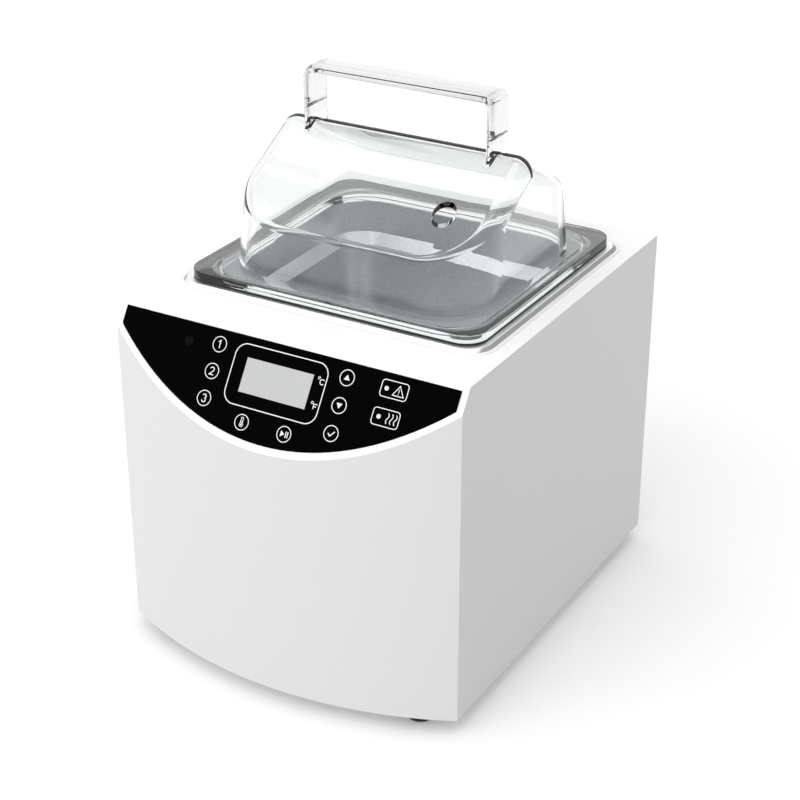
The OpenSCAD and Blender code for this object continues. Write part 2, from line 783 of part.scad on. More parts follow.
module control_board() {
    chip = 7;
    chip_t = 0.7;
    buzzer_r = 5;
    buzzer_h = 4;
    buzzer_v = row_2 + 7;
    back = -board_depth - board_t;
    color(board_green) difference() {
        board_block(board_depth, board_depth + board_t);
        for (p = panel_posts)
            on_panel(p[0], p[1]) translate([0, 0, back - eps])
                cylinder(r = screw_r + running, h = board_t + 2 * eps);
    }
    color(black) {
        for (x = [-2, 1, 3])
            on_panel(x * chip, row_1) translate([-chip / 2, -chip / 2, back - chip_t])
                cube([chip, chip, chip_t + eps]);
        on_panel(-lens_x, buzzer_v) translate([0, 0, back - buzzer_h])
            cylinder(r = buzzer_r, h = buzzer_h + eps);
    }
}

module board_standoffs() {
    color([0.8, 0.7, 0.4]) for (p = panel_posts) on_panel(p[0], p[1]) difference() {
        translate([0, 0, -board_depth]) cylinder(r = post_r, h = board_depth - wall);
        translate([0, 0, -board_depth - eps]) cylinder(r = screw_r + running, h = board_depth - wall - post_floor + eps);
    }
}

module board_screws() {
    color(steel) for (p = panel_posts)
        on_panel(p[0], p[1]) translate([0, 0, -board_depth - board_t]) screw(board_t + post_screw_in);
}

// A key cap with its collar under the overlay and its stem towards its switch
module key(index) {
    spot = key_spots[index];
    color(black) on_panel(spot[0], spot[1]) {
        translate([0, 0, -running - eps]) cylinder(r = key_r, h = overlay_t + running + eps);
        translate([0, 0, -running - key_collar_h]) cylinder(r = key_collar_r, h = key_collar_h);
        translate([0, 0, -stem_end]) cylinder(r = stem_r, h = stem_end - running);
    }
}

module key_switches() {
    color([0.15, 0.15, 0.15]) for (k = key_spots) on_panel(k[0], k[1]) {
        translate([-switch_side / 2, -switch_side / 2, -board_depth]) cube([switch_side, switch_side, switch_h]);
        translate([0, 0, -board_depth]) cylinder(r = plunger_r, h = board_depth - plunger_top);
    }
}

module lamp(index) {
    spot = lamp_spots[index];
    color([0.85, 0.85, 0.85]) on_panel(spot[0], spot[1]) {
        translate([0, 0, -wall]) cylinder(r = lamp_r, h = overlay_t + wall);
        translate([0, 0, -board_depth]) cylinder(r = lamp_collar_r, h = board_depth);
    }
}

module status_lens() {
    color([0.06, 0.02, 0.02]) on_panel(-lens_x, lens_v)
        translate([0, 0, -board_depth]) cylinder(r = lens_r, h = board_depth + overlay_t);
}

module power_board() {
    color(board_green) difference() {
        translate([-power_w / 2, power_y - power_d / 2, power_z]) cube([power_w, power_d, board_t]);
        for (p = power_spots)
            translate([p[0], p[1], power_z - eps]) cylinder(r = screw_r + running, h = board_t + 2 * eps);
    }
}

module power_posts() {
    shank_in = post_h / 3;
    color([0.8, 0.7, 0.4]) for (p = power_spots) {
        translate([p[0], p[1], base_top]) difference() {
            cylinder(d = 2 * post_r / cos(30), h = post_h, $fn = 6);
            translate([0, 0, -eps]) cylinder(r = screw_r, h = post_h + 2 * eps);
        }
        translate([p[0], p[1], bottom_z]) screw(base_t + shank_in);
        translate([p[0], p[1], power_top]) mirror([0, 0, 1]) screw(board_t + shank_in);
    }
}

// Places children on the power board: right of and behind its middle
module on_power(x, y) {
    translate([x, power_y + y, power_top]) children();
}

module transformer() {
    core_w = 34;
    core_d = 16;
    core_h = 28;
    coil_w = 22;
    coil_d = 28;
    coil_h = 18;
    lift = 5;
    pin_r = 0.6;
    pin_in = 3;
    color([0.3, 0.3, 0.32]) on_power(-28, -12) {
        translate([-core_w / 2, -core_d / 2, 0]) cube([core_w, core_d, core_h]);
        translate([-coil_w / 2, -coil_d / 2, lift]) cube([coil_w, coil_d, coil_h]);
        for (x = [-1, 1], y = [-1, 1])
            translate([x * (coil_w / 2 - pin_in), y * (coil_d / 2 - pin_in), 0]) cylinder(r = pin_r, h = lift + eps);
    }
}

module relay() {
    case = [19, 15.5, 15.5];
    step = 2;
    cap_h = 0.4;
    color([0.1, 0.25, 0.5]) on_power(8, 18) {
        cube(case);
        translate([step, step, case[2] - eps]) cube([case[0] - 2 * step, case[1] - 2 * step, cap_h + eps]);
    }
}

module heatsink() {
    fins = 6;
    fin_pitch = 4;
    fin_t = 1.5;
    fin_l = 10;
    fin_h = 24;
    back_t = 3;
    base_w = (fins - 1) * fin_pitch + fin_t;
    triac = [4.5, 10, 15];
    triac_up = 6;
    color([0.7, 0.7, 0.72]) on_power(34, -20) {
        cube([back_t, base_w, fin_h]);
        for (i = [0 : fins - 1]) translate([back_t - eps, i * fin_pitch, 0]) cube([fin_l, fin_t, fin_h]);
        translate([-triac[0], (base_w - triac[1]) / 2, triac_up]) cube([triac[0] + eps, triac[1], triac[2]]);
    }
}

module capacitors() {
    can_r = 6;
    can_h = 20;
    can_gap = 14;
    color([0.1, 0.1, 0.12]) for (i = [0, 1]) on_power(4 + can_gap * i, -14) cylinder(r = can_r, h = can_h);
}

module fuse() {
    fuse_r = 2.6;
    fuse_l = 20;
    clip_long = 6;
    clip_wall = 0.6;
    axis_z = fuse_r + 2;
    cap_over = 0.5;
    color([0.8, 0.8, 0.82]) on_power(-46, 22) {
        for (x = [0, fuse_l - clip_long])
            translate([x, -fuse_r - clip_wall, 0]) cube([clip_long, 2 * (fuse_r + clip_wall), axis_z]);
        translate([-cap_over, 0, axis_z]) rotate([0, 90, 0]) cylinder(r = fuse_r, h = fuse_l + 2 * cap_over);
    }
}

module terminal_block() {
    ways = 5;
    pitch = 5.08;
    block = [ways * pitch, 8, 10];
    edge_gap = 2;
    screw_well_r = 1.7;
    screw_well_deep = 3;
    screw_well_y = 4.5;
    wire_way = 3;
    wire_low = 2;
    color([0.1, 0.4, 0.2]) on_power(-block[0] / 2, edge_gap - power_d / 2) difference() {
        cube(block);
        for (i = [0 : ways - 1]) translate([(i + 0.5) * pitch, 0, 0]) {
            translate([0, screw_well_y, block[2] - screw_well_deep]) cylinder(r = screw_well_r, h = screw_well_deep + eps);
            translate([-wire_way / 2, -eps, wire_low]) cube([wire_way, wire_way + 1, wire_way]);
        }
    }
}

// Stands children on the rear wall: x as in the model, y up, z outwards
module on_rear(x) {
    translate([x, rear_y, rear_mid_z]) rotate([90, 0, 180]) children();
}

module mains_inlet() {
    color(black) on_rear(inlet_x) difference() {
        union() {
            rounded_plate(inlet_ear_w, inlet_ear_h, inlet_corner, inlet_flange_t);
            translate([0, 0, -inlet_deep]) rounded_plate(inlet_w, inlet_h, inlet_corner, inlet_deep + eps);
        }
        translate([0, 0, inlet_flange_t - inlet_cavity_deep])
            rounded_plate(inlet_cavity_w, inlet_cavity_h, inlet_cavity_r, inlet_cavity_deep + eps);
        for (s = [-1, 1]) translate([s * inlet_ear_gap / 2, 0, -eps])
            cylinder(r = screw_r + running, h = inlet_flange_t + 2 * eps);
        inlet_pin_set(2 * running);
    }
}

// The three pins, or with a growth the slots that they sit in
module inlet_pin_set(grow) {
    pin_low = -inlet_deep - inlet_pin_tail;
    pin_high = inlet_flange_t - inlet_cavity_deep + inlet_pin_l;
    for (p = [[-inlet_pin_gap, inlet_pin_rise], [inlet_pin_gap, inlet_pin_rise], [0, earth_pin_rise]])
        translate([p[0], p[1] - earth_pin_drop, (pin_low + pin_high) / 2])
            cube([inlet_pin_w + grow, inlet_pin_h + grow, pin_high - pin_low], center = true);
}

module inlet_pins() {
    color([0.8, 0.75, 0.5]) on_rear(inlet_x) inlet_pin_set(0);
}

module inlet_screws() {
    color(steel) for (s = [-1, 1])
        on_rear(inlet_x + s * inlet_ear_gap / 2) translate([0, 0, inlet_flange_t]) mirror([0, 0, 1])
            screw(inlet_flange_t + wall + inlet_screw_over);
}

module switch_housing() {
    color(black) on_rear(-switch_x) difference() {
        union() {
            rounded_plate(switch_bezel_w, switch_bezel_h, switch_bezel_r, bezel_t);
            translate([-switch_body_w / 2, -switch_body_h / 2, -switch_deep])
                cube([switch_body_w, switch_body_h, switch_deep + eps]);
            for (y = [-1, 1]) translate([-tab_w / 2, y * tab_gap / 2 - tab_t / 2, -switch_deep - tab_l])
                cube([tab_w, tab_t, tab_l + eps]);
        }
        translate([-switch_cavity_w / 2, -switch_cavity_h / 2, bezel_t - switch_cavity_deep])
            cube([switch_cavity_w, switch_cavity_h, switch_cavity_deep + eps]);
        translate([0, 0, bezel_t - rocker_pivot_in]) rotate([0, 90, 0])
            cylinder(r = rocker_pin_r + running, h = rocker_w + 2 * rocker_pin_l + 2 * running, center = true);
    }
}

// The rocker rests in its off position, tilted about its own pin
module power_rocker() {
    dish = 1.2;
    end_in = 0.6;
    heel = 2.4;
    heel_low = 2;
    color([0.08, 0.08, 0.08]) on_rear(-switch_x) translate([0, 0, bezel_t - rocker_pivot_in])
        rotate([-rocker_tilt, 0, 0]) {
            rotate([90, 0, 90]) linear_extrude(height = rocker_w, center = true)
                polygon([[-rocker_half, rocker_face], [0, rocker_face - dish], [rocker_half, rocker_face],
                         [rocker_half - end_in, 0], [heel, -heel_low], [-heel, -heel_low], [end_in - rocker_half, 0]]);
            rotate([0, 90, 0]) cylinder(r = rocker_pin_r, h = rocker_w + 2 * rocker_pin_l, center = true);
        }
}

// A ball that touches the roof, and the wall at angle a round a corner: its place and its radius
function eave_ball(a) =
    let (along = roof_y - eave_corner_r * (1 - cos(a)),
         r = verge_r + (eave_r - verge_r) * along / roof_y,
         x = roof_x - eave_corner_r + (eave_corner_r - r) * sin(a),
         y = roof_y - eave_corner_r + (eave_corner_r - r) * cos(a))
    [x, y, roof_peak - roof_slope * y - r / cos(atan(roof_slope)), r];

// Outer form of the dome, or with an inset its hollow
module dome_form(inset) {
    foot_z = lid_top - (inset > 0 ? lid_t + eps : 0);
    hull($fn = hull_facets) {
        translate([0, 0, foot_z]) linear_extrude(height = dome_foot)
            rounded_rect(dome_w - 2 * inset, dome_d - 2 * inset, dome_r - inset);
        for (i = [0 : corner_steps], x = [-1, 1], y = [-1, 1]) {
            ball = eave_ball(90 * i / corner_steps);
            translate([x * ball[0], y * ball[1], ball[2]]) sphere(r = ball[3] - inset);
        }
        for (x = [-1, 1])
            translate([x * ridge_x, 0, ridge_z - ridge_drop])
                scale([ridge_end - inset, ridge_r - inset, ridge_drop - inset]) sphere(r = 1);
    }
}

module lid_shell() {
    color(clear) translate([0, pan_cy, 0]) difference() {
        union() {
            translate([0, 0, lid_z]) rounded_plate(lid_w, lid_d, lid_r, lid_t);
            translate([0, 0, lid_z - lip_h]) rounded_ring(lip_w, lip_d, lip_r, lip_t, lip_h + eps);
            dome_form(0);
        }
        dome_form(dome_t);
        translate([vent_x, -vent_y, lid_top]) cylinder(r = vent_r, h = dome_h);
    }
}

module lid_seal() {
    color([0.27, 0.27, 0.28]) translate([0, pan_cy, seal_z])
        difference() {
            rounded_plate(lid_w, lid_d, lid_r, seal_t);
            translate([0, 0, -eps])
                rounded_plate(lid_w - 2 * seal_w, lid_d - 2 * seal_w, seal_corner, seal_t + 2 * eps);
        }
}

// The handle seen from the front: two straps and a grip with round outer bends
module handle_outline() {
    out_x = strap_x + strap_t / 2;
    low = ridge_z - ridge_drop;
    difference() {
        union() {
            translate([-out_x, low]) square([2 * out_x, grip_z - low - grip_r]);
            translate([-out_x + grip_r, low]) square([2 * (out_x - grip_r), grip_z - low]);
            for (s = [-1, 1]) translate([s * (out_x - grip_r), grip_z - grip_r]) circle(r = grip_r);
        }
        translate([-out_x + strap_t, low - eps])
            square([2 * (out_x - strap_t), grip_z - low - grip_t + eps]);
    }
}

// The handle seen from the side, with its crowned grip
module crown_section() {
    low = ridge_z - ridge_drop;
    translate([-strap_w / 2, low]) square([strap_w, grip_z - grip_crown - low]);
    translate([0, grip_z - grip_crown]) scale([strap_w / 2, grip_crown]) circle(r = 1);
}

module lid_handle() {
    color(clear) translate([0, pan_cy, 0]) difference() {
        intersection() {
            rotate([90, 0, 0]) linear_extrude(height = strap_w, center = true) handle_outline();
            rotate([90, 0, 90]) linear_extrude(height = far, center = true) crown_section();
        }
        dome_form(0);
    }
}

body_shell();
base_plate();
side_rails();
foot(foot_spots[0]);  // foot_front_left
foot(foot_spots[1]);  // foot_front_right
foot(foot_spots[2]);  // foot_rear_left
foot(foot_spots[3]);  // foot_rear_right
foot_screws();
base_screws();
bath_pan();
pan_gasket();
pan_nuts();
heater_mat();
pan_insulation();
under_insulation();
temperature_sensor();
sensor_clip();
thermal_cutout();
panel_overlay();
display_window();
display_module();
control_board();
board_standoffs();
board_screws();
key(0);  // key_1
key(1);  // key_2
key(2);  // key_3
key(3);  // key_temperature
key(4);  // key_run
key(5);  // key_confirm
key(6);  // key_up
key(7);  // key_down
key_switches();
lamp(0);  // warning_lamp
lamp(1);  // heating_lamp
status_lens();
power_board();
power_posts();
transformer();
relay();
heatsink();
capacitors();
fuse();
terminal_block();
mains_inlet();
inlet_pins();
inlet_screws();
switch_housing();
power_rocker();
lid_shell();
lid_seal();
lid_handle();
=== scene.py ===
import math

import bpy
import bmesh
import numpy as np
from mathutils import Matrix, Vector
from mathutils.kdtree import KDTree

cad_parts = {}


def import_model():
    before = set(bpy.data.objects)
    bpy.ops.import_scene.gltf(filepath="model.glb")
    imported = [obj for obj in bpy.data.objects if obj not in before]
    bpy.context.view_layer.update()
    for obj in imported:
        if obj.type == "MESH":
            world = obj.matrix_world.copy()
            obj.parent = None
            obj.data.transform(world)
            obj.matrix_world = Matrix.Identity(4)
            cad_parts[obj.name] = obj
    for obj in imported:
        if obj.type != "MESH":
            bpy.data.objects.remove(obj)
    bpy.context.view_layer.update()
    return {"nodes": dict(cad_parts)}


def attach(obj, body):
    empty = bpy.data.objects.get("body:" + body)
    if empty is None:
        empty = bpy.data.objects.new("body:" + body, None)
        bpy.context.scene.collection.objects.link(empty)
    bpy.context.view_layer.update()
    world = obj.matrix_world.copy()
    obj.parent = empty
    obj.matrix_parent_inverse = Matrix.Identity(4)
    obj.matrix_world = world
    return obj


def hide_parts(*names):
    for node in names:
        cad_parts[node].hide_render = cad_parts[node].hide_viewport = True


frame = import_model()
NODES = frame["nodes"]

MM = 0.001

# Sizes of the part, in millimetres, in the frame of the CAD model
PAN_CY = 15.65
TOP_Z = 188.0
FLANGE_TOP = 190.4
LID_Z = 191.4
LID_TOP = 195.4
LID_W, LID_D, LID_R = 167.0, 154.0, 12.0
LID_EDGE = 0.35
AIR_GAP = 0.04
LIP_W, LIP_D, LIP_R = 154.0, 143.0, 21.0
LIP_H, LIP_T, LIP_EDGE = 4.0, 2.0, 0.5
DOME_T = 2.5
DOME_W, DOME_D, DOME_R, DOME_H = 146.5, 129.0, 31.0, 63.0
EAVE_R, VERGE_R, EAVE_CORNER_R, EAVE_IN, END_IN = 5.0, 11.0, 35.5, 2.2, 0.8
RIDGE_R, RIDGE_END, RIDGE_DROP = 6.5, 10.0, 11.0
ROOF_SLOPE = 0.6
VENT_R, VENT_X, VENT_Y = 5.9, 43.5, 36.5
STRAP_GAP, STRAP_W, STRAP_T = 105.0, 19.0, 3.0
STRAP_CROWN, BAR_EDGE = 0.9, 0.8
JOINT_RISE, JOINT_HALF, JOINT_DEPTH, JOINT_EDGE = 8.4, 0.45, 0.4, 0.6
GRIP_H, GRIP_T, GRIP_CROWN, GRIP_R = 30.5, 4.0, 2.0, 6.0
PANEL_ANGLE = math.radians(56.5)
SIDE_Y = -99.85
PANEL_RUN = 11.2 / math.tan(PANEL_ANGLE)
OVERLAY_T = 0.8
PRINT_T = 0.04

RIDGE_Z = LID_TOP + DOME_H
GRIP_Z = RIDGE_Z + GRIP_H

# The dome's walls start inside the plate, and its hollow below the plate
OUTER_FOOT = LID_TOP - 0.3
INNER_FOOT = LID_Z - 0.1


# Materials

BUMP_HEIGHT = 0.00002
# Where the steel goes over to its painted shade on the flange's side, and the clear plastic to its painted
# shade on the handle's bar
FLANGE_SHADE_X, FLANGE_SHADE_Z = (83.2, 85.2), (FLANGE_TOP - 0.1, FLANGE_TOP - 0.3)
BAR_SHADE_FROM_Z = (RIDGE_Z + 0.5, RIDGE_Z + 3.0)


def material(name, color, rough, metal=0.0, **extra):
    m = bpy.data.materials.new(name)
    m.use_nodes = True
    inputs = m.node_tree.nodes["Principled BSDF"].inputs
    values = {"Base Color": (*color, 1.0), "Roughness": rough, "Metallic": metal}
    values.update({key.replace("_", " "): value for key, value in extra.items()})
    for key, value in values.items():
        inputs[key].default_value = value
    return m


def add_node(m, kind, values=None, **settings):
    """A new shader node with its settings, and with values or other nodes' sockets at its inputs."""
    tree = m.node_tree
    node = tree.nodes.new("ShaderNode" + kind)
    for key, value in settings.items():
        setattr(node, key, value)
    for key, value in (values or {}).items():
        if isinstance(value, bpy.types.NodeSocket):
            tree.links.new(value, node.inputs[key])
        else:
            node.inputs[key].default_value = value
    return node


def to_shader(m, name, source):
    m.node_tree.links.new(source, m.node_tree.nodes["Principled BSDF"].inputs[name])


def object_coords(m, scale=(1, 1, 1)):
    coord = add_node(m, "TexCoord")
    return add_node(m, "Mapping", {"Vector": coord.outputs["Object"], "Scale": scale}).outputs["Vector"]


def noise(m, scale, stretch=(1, 1, 1)):
    return add_node(m, "TexNoise", {"Vector": object_coords(m, stretch), "Scale": scale, "Detail": 2.0,
                                    "Roughness": 0.5}).outputs["Fac"]


def ramp(m, source, low, high, low_at=0.3, high_at=0.7):
    return add_node(m, "MapRange", {"Value": source, "From Min": low_at, "From Max": high_at,
                                    "To Min": low, "To Max": high}).outputs["Result"]


def color_mix(m, source, a, b):
    """A mix of two colours, each given as three numbers or as another node's socket."""
    a, b = [(*c, 1.0) if isinstance(c, tuple) else c for c in (a, b)]
    return add_node(m, "Mix", {"Factor": source, "A": a, "B": b}, data_type="RGBA").outputs["Result"]


def math_node(m, operation, *values):
    return add_node(m, "Math", dict(enumerate(values)), operation=operation).outputs[0]


def bump(m, height, strength):
    node = add_node(m, "Bump", {"Height": height, "Strength": strength, "Distance": BUMP_HEIGHT})
    to_shader(m, "Normal", node.outputs["Normal"])


def grained(name, color, rough, metal=0.0, spread=0.04, scale=900.0, bumpy=0.0, rough_spread=0.05,
            stretch=(1, 1, 1), **extra):
    """A material with fine variation of its colour and roughness, and with bump where asked."""
    m = material(name, color, rough, metal, **extra)
    n = noise(m, scale, stretch)
    low = tuple(max(0.0, c * (1 - spread)) for c in color)
    high = tuple(min(1.0, c * (1 + spread)) for c in color)
    to_shader(m, "Base Color", color_mix(m, ramp(m, n, 0.0, 1.0), low, high))
    to_shader(m, "Roughness", ramp(m, n, rough - rough_spread, rough + rough_spread))
    if bumpy:
        bump(m, n, bumpy)
    return m


def axis_part(m, axis, low, high, folded=False):
    """A mask that rises from 0 to 1 between two places along an axis, or along both its ways."""
    split = add_node(m, "SeparateXYZ", {0: object_coords(m)})
    value = split.outputs[axis]
    if folded:
        value = math_node(m, "ABSOLUTE", value)
    return ramp(m, value, 0.0, 1.0, low * MM, high * MM)


def clear(name, thin, thick):
    """Clear plastic with painted shade: its colour turns from the thin one to the darker thick one on the
    handle's bar, just above the ridge.
    """
    m = material(name, thin, 0.0, Transmission_Weight=1.0, IOR=1.49)
    to_shader(m, "Base Color", color_mix(m, axis_part(m, "Z", *BAR_SHADE_FROM_Z), thin, thick))
    return m


def dress(node, mat):
    o = NODES[node]
    o.data.materials.clear()
    o.data.materials.append(mat)


paint = grained("white_paint", (0.89, 0.89, 0.895), 0.42, spread=0.006, scale=1400.0, bumpy=0.12,
                rough_spread=0.03, Specular_IOR_Level=0.35)
zinc = grained("zinc_sheet", (0.62, 0.63, 0.65), 0.38, 1.0, spread=0.1, scale=240.0, rough_spread=0.08)
rubber = grained("black_rubber", (0.012, 0.012, 0.012), 0.75, spread=0.2, scale=1500.0, bumpy=0.3)
screw_mat = grained("screw_steel", (0.6, 0.6, 0.62), 0.3, 1.0, spread=0.05, scale=2000.0)
gasket_mat = grained("pale_gasket", (0.82, 0.82, 0.83), 0.5, spread=0.02, scale=1500.0, bumpy=0.1)
seal_mat = grained("seal_grey", (0.03, 0.03, 0.031), 0.5, spread=0.08, scale=1500.0, bumpy=0.1,
                   Specular_IOR_Level=0.1)
black_plastic = grained("black_plastic", (0.02, 0.02, 0.021), 0.42, spread=0.15, scale=2500.0, bumpy=0.25)
overlay_mat = grained("overlay_black", (0.001, 0.001, 0.001), 0.45, spread=0.1, scale=2500.0,
                      Specular_IOR_Level=0.01)
display_mat = grained("display_grey", (0.51, 0.515, 0.52), 0.35, spread=0.015, scale=700.0,
                      Specular_IOR_Level=0.25)
ink_mat = grained("white_print", (0.86, 0.86, 0.86), 0.5, spread=0.02, scale=1500.0, Specular_IOR_Level=0.2)
board_mat = grained("board_green", (0.02, 0.14, 0.06), 0.35, spread=0.25, scale=350.0, bumpy=0.2)
brass_mat = grained("brass_posts", (0.78, 0.62, 0.34), 0.3, 1.0, spread=0.06, scale=900.0)
foam_mat = grained("foam", (0.42, 0.43, 0.4), 0.9, spread=0.15, scale=700.0, bumpy=0.8)
heater_mat = grained("heater_rubber", (0.5, 0.13, 0.06), 0.6, spread=0.1, scale=500.0, bumpy=0.4)
lamp_mat = grained("lamp_clear", (0.8, 0.8, 0.8), 0.2, spread=0.02, scale=2000.0)
lens_mat = grained("lens_dark", (0.005, 0.004, 0.004), 0.35, spread=0.1, scale=2000.0,
                  Specular_IOR_Level=0.02)
core_mat = grained("core_steel", (0.16, 0.16, 0.17), 0.45, 0.4, spread=0.2, scale=300.0, stretch=(1, 30, 1))
relay_mat = grained("relay_blue", (0.03, 0.1, 0.35), 0.3, spread=0.04, scale=1500.0)
alu_mat = grained("bare_aluminium", (0.75, 0.76, 0.78), 0.35, 1.0, spread=0.05, scale=600.0,
                  stretch=(1, 1, 12))
terminal_mat = grained("terminal_green", (0.03, 0.24, 0.08), 0.4, spread=0.05, scale=1500.0)
rocker_mat = grained("rocker_black", (0.022, 0.022, 0.023), 0.35, spread=0.1, scale=2500.0, bumpy=0.15)


def steel_material():
    """Satin stainless steel with the fine grain that the pan's inside shows, and painted shade on the
    flange's sides.
    """
    m = material("pan_steel", (0.82, 0.84, 0.865), 0.42, 1.0)
    fine = noise(m, 1300.0)
    sheet = color_mix(m, ramp(m, fine, 0.0, 1.0), (0.72, 0.745, 0.765), (0.94, 0.96, 0.975))
    # Painted shade: the flange's side faces are coloured darker than the sheet
    side = math_node(m, "MULTIPLY", axis_part(m, "X", *FLANGE_SHADE_X, folded=True),
                     axis_part(m, "Z", *FLANGE_SHADE_Z))
    to_shader(m, "Base Color", color_mix(m, side, sheet, (0.3, 0.3, 0.3)))
    to_shader(m, "Roughness", ramp(m, noise(m, 45.0), 0.38, 0.48))
    bump(m, fine, 0.25)
    return m


steel_mat = steel_material()
# The second colour is painted shade on the handle's bar
glass_mat = clear("clear_plastic", (0.93, 0.94, 0.94), (0.75, 0.755, 0.755))

LOOKS = {
    paint: ["body_shell"],
    zinc: ["base_plate", "side_rails", "sensor_clip", "fuse"],
    rubber: ["foot_front_left", "foot_front_right", "foot_rear_left", "foot_rear_right"],
    screw_mat: ["foot_screws", "base_screws", "pan_nuts", "board_screws", "inlet_screws"],
    steel_mat: ["bath_pan", "temperature_sensor"],
    gasket_mat: ["pan_gasket"],
    heater_mat: ["heater_mat"],
    foam_mat: ["pan_insulation", "under_insulation"],
    black_plastic: ["thermal_cutout", "display_module", "key_switches", "capacitors", "mains_inlet",
                    "switch_housing"],
    overlay_mat: ["panel_overlay", "key_1", "key_2", "key_3", "key_temperature", "key_run", "key_confirm",
                  "key_up", "key_down"],
    display_mat: ["display_window"],
    board_mat: ["control_board", "power_board"],
    brass_mat: ["board_standoffs", "power_posts", "inlet_pins"],
    lamp_mat: ["warning_lamp", "heating_lamp"],
    lens_mat: ["status_lens"],
    core_mat: ["transformer"],
    relay_mat: ["relay"],
    alu_mat: ["heatsink"],
    terminal_mat: ["terminal_block"],
    rocker_mat: ["power_rocker"],
    glass_mat: ["lid_shell", "lid_handle"],
    seal_mat: ["lid_seal"],
}
for mat, names in LOOKS.items():
    for name in names:
        dress(name, mat)


# Mesh helpers

def mesh_object(name, verts, faces, mat):
    me = bpy.data.meshes.new(name)
    me.from_pydata([tuple(v) for v in verts], [], [tuple(f) for f in faces])
    me.validate()
    me.update()
    o = bpy.data.objects.new(name, me)
    bpy.context.scene.collection.objects.link(o)
    me.materials.append(mat)
    return o


def face_outward(o):
    bm = bmesh.new()
    bm.from_mesh(o.data)
    bmesh.ops.recalc_face_normals(bm, faces=bm.faces)
    bm.to_mesh(o.data)
    bm.free()


def rounded_outline(w, d, r, n):
    """Points of a rounded rectangle, anticlockwise, with n steps a corner."""
    pts = []
    for q in range(4):
        cx = (w / 2 - r) * (1 if q in (0, 3) else -1)
        cy = (d / 2 - r) * (1 if q in (0, 1) else -1)
        for i in range(n + 1):
            a = math.radians(90 * q + 90 * i / n)
            pts.append((cx + r * math.cos(a), cy + r * math.sin(a)))
    return pts


def profile_walls(profile, w, d, r, closed, n=24):
    """Faces along (inset, height) pairs that go round a rounded rectangle, and the points of a row."""
    verts, faces = [], []
    count = 4 * (n + 1)
    for inset, z in profile:
        for x, y in rounded_outline(w - 2 * inset, d - 2 * inset, r - inset, n):
            verts.append((x * MM, (y + PAN_CY) * MM, z * MM))
    rows = len(profile)
    for i in range(rows if closed else rows - 1):
        j = (i + 1) % rows
        for k in range(count):
            m = (k + 1) % count
            faces.append((i * count + k, i * count + m, j * count + m, j * count + k))
    return verts, faces, count


def swept_ring(profile, w, d, r):
    """A closed profile swept round a rounded rectangle."""
    return profile_walls(profile, w, d, r, True)[:2]


def solid_stack(profile, w, d, r):
    """A solid whose side follows the profile from its bottom to its top."""
    verts, faces, count = profile_walls(profile, w, d, r, False)
    faces.append(tuple(reversed(range(count))))
    faces.append(tuple(range((len(profile) - 1) * count, len(profile) * count)))
    return verts, faces


# The dome's outer and inner surfaces: the hull of a foot outline, balls under the roof's edge and
# the rounded ridge

AZ_STEPS, EL_STEPS, CORNER_STEPS = 60, 80, 400
FOOT, BALL, RIDGE = 0, 1, 2   # the parts, from the walls' foot upwards
SHARP_FROM = 32               # degrees between two faces of the lid

# How the normals are found: halvings, steps of the search, and distances in millimetres
HALVINGS = 36
SEARCH_STEPS = (0.05, 0.05, 0.02, 0.01, 0.004, 0.0015)
SAME_POINT, NEAR_FORM, ON_FORM, ABOVE_FOOT = 0.004, 1.5, 0.03, 0.6


def eave_balls():
    """Centres and radii of the balls that touch the roof and the walls round one corner."""
    roof_x, roof_y = DOME_W / 2 - END_IN, DOME_D / 2 - EAVE_IN
    peak = DOME_H - RIDGE_DROP + math.hypot(RIDGE_R * ROOF_SLOPE, RIDGE_DROP)
    centres, radii = [], []
    for i in range(CORNER_STEPS + 1):
        a = math.pi / 2 * i / CORNER_STEPS
        along = roof_y - EAVE_CORNER_R * (1 - math.cos(a))
        r = VERGE_R + (EAVE_R - VERGE_R) * along / roof_y
        x = roof_x - EAVE_CORNER_R + (EAVE_CORNER_R - r) * math.sin(a)
        y = roof_y - EAVE_CORNER_R + (EAVE_CORNER_R - r) * math.cos(a)
        z = LID_TOP + peak - ROOF_SLOPE * y - r / math.cos(math.atan(ROOF_SLOPE))
        centres.append((x, y, z))
        radii.append(r)
    return np.array(centres), np.array(radii)


BALLS, BALL_R = eave_balls()


def towards(az, el):
    return np.stack([np.cos(el) * np.cos(az), np.cos(el) * np.sin(az), np.sin(el)], axis=-1)


def part_change(az, part, inset, foot_z):
    """The elevations just below and above the one at which a part becomes the furthest."""
    low, high = np.zeros(len(az)), np.full(len(az), math.pi / 2)
    for _ in range(HALVINGS):
        mid = (low + high) / 2
        past = dome_points(towards(az, mid), inset, foot_z)[2] >= part
        low, high = np.where(past, low, mid), np.where(past, mid, high)
    return low, high


def directions(inset, foot_z):
    """Directions all round, with the ones at which the furthest part changes at each azimuth."""
    # Each quadrant stops just short of its borders, where the dome's straight sides start
    inside = 1e-6
    az = np.radians(np.concatenate([np.linspace(q + inside, q + 90.0 - inside, AZ_STEPS + 1)
                                    for q in (0, 90, 180, 270)]))
    rows = [np.full(len(az), e) for e in np.radians(np.linspace(0.0, 90.0, EL_STEPS + 1))]
    for part in (BALL, RIDGE):
        rows += part_change(az, part, inset, foot_z)
    return np.concatenate([towards(az, e) for e in rows])


def foot_normals(points, inset, foot_z):
    """Outward normals of the dome's walls at points on their foot."""
    x = np.maximum(np.abs(points[:, 0]) - DOME_W / 2 + DOME_R, 0.0)
    y = np.maximum(np.abs(points[:, 1]) - DOME_D / 2 + DOME_R, 0.0)
    az = np.arctan2(y, x)
    n = towards(az, part_change(az, BALL, inset, foot_z)[0])
    n[:, :2] *= np.where(points[:, :2] < 0, -1.0, 1.0)
    return n


